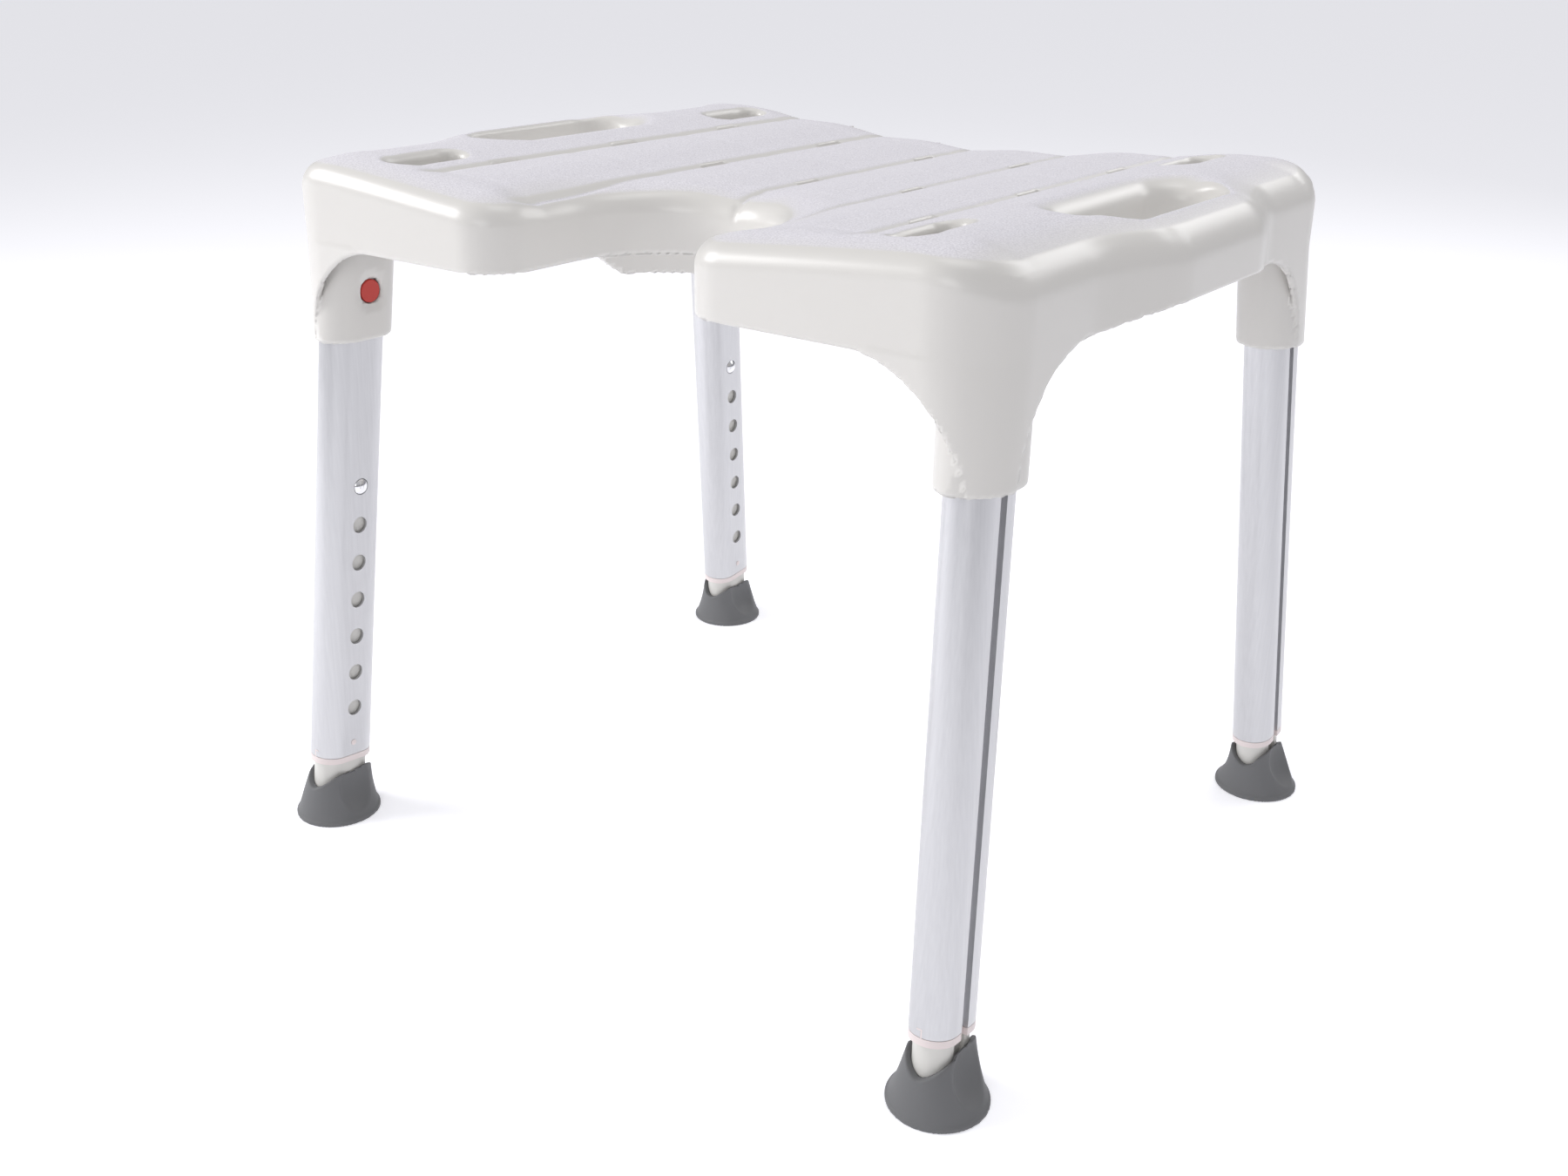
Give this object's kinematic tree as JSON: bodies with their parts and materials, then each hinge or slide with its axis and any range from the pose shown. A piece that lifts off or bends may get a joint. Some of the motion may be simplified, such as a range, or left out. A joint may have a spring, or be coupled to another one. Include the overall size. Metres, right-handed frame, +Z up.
{
  "type": "shower stool",
  "caption": "Shower stool with a dished moulded seat, a front cut-out, side hand grips and splayed telescopic legs with height holes, release buttons and flared rubber feet.",
  "frame": {"origin": "on the floor, midway between the four feet", "axes": "+Z up, +X to the seat's right, -Y to the front, where the cut-out is"},
  "size_m": [0.5268, 0.4672, 0.4301],
  "materials": {
    "seat_plastic": "satin moulded plastic with a fine speckle",
    "tube_aluminium": "satin anodised",
    "collar_plastic": "satin",
    "carrier_plastic": "satin",
    "button_red": "semi-gloss",
    "spring_steel": "drawn wire and strip",
    "leg_plastic": "satin",
    "pin_chrome": "polished",
    "foot_rubber": "matt moulded rubber"
  },
  "bodies": {
    "seat_and_tubes": {"seat_shell": "seat_plastic", "front_right_leg_tube": "tube_aluminium", "front_right_tube_collar": "collar_plastic", "front_right_button_carrier": "carrier_plastic", "front_right_release_spring": "spring_steel", "front_left_leg_tube": "tube_aluminium", "front_left_tube_collar": "collar_plastic", "front_left_button_carrier": "carrier_plastic", "front_left_release_spring": "spring_steel", "back_right_leg_tube": "tube_aluminium", "back_right_tube_collar": "collar_plastic", "back_right_button_carrier": "carrier_plastic", "back_right_release_spring": "spring_steel", "back_left_leg_tube": "tube_aluminium", "back_left_tube_collar": "collar_plastic", "back_left_button_carrier": "carrier_plastic", "back_left_release_spring": "spring_steel"},
    "front_right_leg": {"front_right_inner_leg": "leg_plastic", "front_right_foot": "foot_rubber", "front_right_snap_spring": "spring_steel"},
    "front_right_pin": {"front_right_snap_pin": "pin_chrome"},
    "front_right_button": {"front_right_release_button": "button_red"},
    "front_left_leg": {"front_left_inner_leg": "leg_plastic", "front_left_foot": "foot_rubber", "front_left_snap_spring": "spring_steel"},
    "front_left_pin": {"front_left_snap_pin": "pin_chrome"},
    "front_left_button": {"front_left_release_button": "button_red"},
    "back_right_leg": {"back_right_inner_leg": "leg_plastic", "back_right_foot": "foot_rubber", "back_right_snap_spring": "spring_steel"},
    "back_right_pin": {"back_right_snap_pin": "pin_chrome"},
    "back_right_button": {"back_right_release_button": "button_red"},
    "back_left_leg": {"back_left_inner_leg": "leg_plastic", "back_left_foot": "foot_rubber", "back_left_snap_spring": "spring_steel"},
    "back_left_pin": {"back_left_snap_pin": "pin_chrome"},
    "back_left_button": {"back_left_release_button": "button_red"}
  },
  "joints": [
    {"name": "front_right_leg_slide", "type": "slide", "parent": "seat_and_tubes", "child": "front_right_leg", "axis": [0.0487, -0.1072, -0.993], "range_m": [0, 0.15]},
    {"name": "front_right_pin_press", "type": "slide", "parent": "front_right_leg", "child": "front_right_pin", "axis": [0.9988, 0.0052, 0.0484], "range_m": [0, 0.0044], "stiffness_N_per_m": 900, "springref_m": -0.002, "deforming": ["front_right_snap_spring"]},
    {"name": "front_right_button_press", "type": "slide", "parent": "seat_and_tubes", "child": "front_right_button", "axis": [0.9988, 0.0052, 0.0484], "range_m": [0, 0.004], "stiffness_N_per_m": 900, "springref_m": -0.002, "deforming": ["front_right_release_spring"]},
    {"name": "front_left_leg_slide", "type": "slide", "parent": "seat_and_tubes", "child": "front_left_leg", "axis": [-0.0487, -0.1072, -0.993], "range_m": [0, 0.15]},
    {"name": "front_left_pin_press", "type": "slide", "parent": "front_left_leg", "child": "front_left_pin", "axis": [-0.9988, 0.0052, 0.0484], "range_m": [0, 0.0044], "stiffness_N_per_m": 900, "springref_m": -0.002, "deforming": ["front_left_snap_spring"]},
    {"name": "front_left_button_press", "type": "slide", "parent": "seat_and_tubes", "child": "front_left_button", "axis": [-0.9988, 0.0052, 0.0484], "range_m": [0, 0.004], "stiffness_N_per_m": 900, "springref_m": -0.002, "deforming": ["front_left_release_spring"]},
    {"name": "back_right_leg_slide", "type": "slide", "parent": "seat_and_tubes", "child": "back_right_leg", "axis": [0.0487, 0.1072, -0.993], "range_m": [0, 0.15]},
    {"name": "back_right_pin_press", "type": "slide", "parent": "back_right_leg", "child": "back_right_pin", "axis": [0.9988, -0.0052, 0.0484], "range_m": [0, 0.0044], "stiffness_N_per_m": 900, "springref_m": -0.002, "deforming": ["back_right_snap_spring"]},
    {"name": "back_right_button_press", "type": "slide", "parent": "seat_and_tubes", "child": "back_right_button", "axis": [0.9988, -0.0052, 0.0484], "range_m": [0, 0.004], "stiffness_N_per_m": 900, "springref_m": -0.002, "deforming": ["back_right_release_spring"]},
    {"name": "back_left_leg_slide", "type": "slide", "parent": "seat_and_tubes", "child": "back_left_leg", "axis": [-0.0487, 0.1072, -0.993], "range_m": [0, 0.15]},
    {"name": "back_left_pin_press", "type": "slide", "parent": "back_left_leg", "child": "back_left_pin", "axis": [-0.9988, -0.0052, 0.0484], "range_m": [0, 0.0044], "stiffness_N_per_m": 900, "springref_m": -0.002, "deforming": ["back_left_snap_spring"]},
    {"name": "back_left_button_press", "type": "slide", "parent": "seat_and_tubes", "child": "back_left_button", "axis": [-0.9988, -0.0052, 0.0484], "range_m": [0, 0.004], "stiffness_N_per_m": 900, "springref_m": -0.002, "deforming": ["back_left_release_spring"]}
  ]
}
